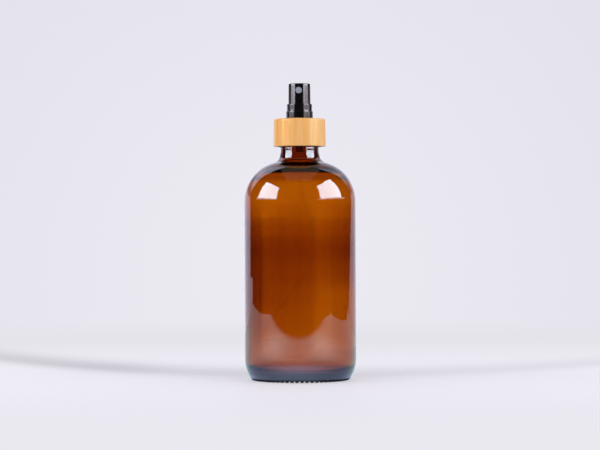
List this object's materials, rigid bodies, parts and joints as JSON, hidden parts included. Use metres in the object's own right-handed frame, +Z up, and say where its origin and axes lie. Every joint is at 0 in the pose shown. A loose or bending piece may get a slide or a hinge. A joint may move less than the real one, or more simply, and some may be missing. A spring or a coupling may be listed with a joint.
{
  "type": "spray bottle",
  "caption": "Amber glass round-shouldered bottle with a screw-on fine-mist finger pump, bamboo collar, black push button and bowed dip tube.",
  "frame": {"origin": "centre of the base, on the surface the bottle stands on", "axes": "+Z up along the bottle's axis; -Y the way the nozzle sprays; +X to the right seen from the nozzle side"},
  "size_m": [0.075, 0.075, 0.1995],
  "materials": {
    "amber_glass": "clear amber glass, polished, thick base",
    "bamboo": "fine straight bamboo grain along the axis, satin lacquer",
    "black_plastic": "gloss black polypropylene",
    "grey_plastic": "light grey moulded plastic, satin",
    "natural_plastic": "natural uncoloured polypropylene and polyethylene",
    "foam": "white foamed polyethylene",
    "rubber": "black elastomer",
    "steel": "bright stainless wire and ball"
  },
  "bodies": {
    "bottle": {"glass_bottle": "amber_glass"},
    "pump": {"pump_housing": "natural_plastic", "housing_cap": "natural_plastic", "stem_seal": "rubber", "neck_gasket": "foam", "dip_tube": "natural_plastic", "main_spring": "steel"},
    "closure": {"threaded_closure": "black_plastic", "bamboo_collar": "bamboo"},
    "stem": {"upper_stem": "natural_plastic", "lower_stem": "natural_plastic", "slip_spring": "steel"},
    "piston": {"piston": "natural_plastic"},
    "button": {"spray_button": "black_plastic", "nozzle_insert": "grey_plastic"},
    "ball": {"inlet_ball": "steel"}
  },
  "joints": [
    {"name": "pump_lift", "type": "slide", "parent": "bottle", "child": "pump", "axis": [0, 0, 1], "range_m": [0, 0.0053]},
    {"name": "closure_turn", "type": "hinge", "parent": "pump", "child": "closure", "pos_m": [0, 0, 0.165], "axis": [0, 0, 1], "range_deg": [0, 450]},
    {"name": "button_press", "type": "slide", "parent": "pump", "child": "stem", "axis": [0, 0, -1], "range_m": [0, 0.0045], "stiffness_N_per_m": 900, "springref_m": -0.006, "deforming": ["main_spring"]},
    {"name": "button_turn", "type": "hinge", "parent": "stem", "child": "button", "pos_m": [0, 0, 0.19], "axis": [0, 0, 1], "continuous": true},
    {"name": "piston_slip", "type": "slide", "parent": "stem", "child": "piston", "axis": [0, 0, 1], "range_m": [0, 0.0009], "stiffness_N_per_m": 600, "springref_m": -0.003, "deforming": ["slip_spring"]},
    {"name": "ball_lift", "type": "slide", "parent": "pump", "child": "ball", "axis": [0, 0, 1], "range_m": [0, 0.0008]}
  ],
  "couplings": [
    {"joint": "pump_lift", "follows": "closure_turn", "m_per_rad": 0.00067373}
  ]
}
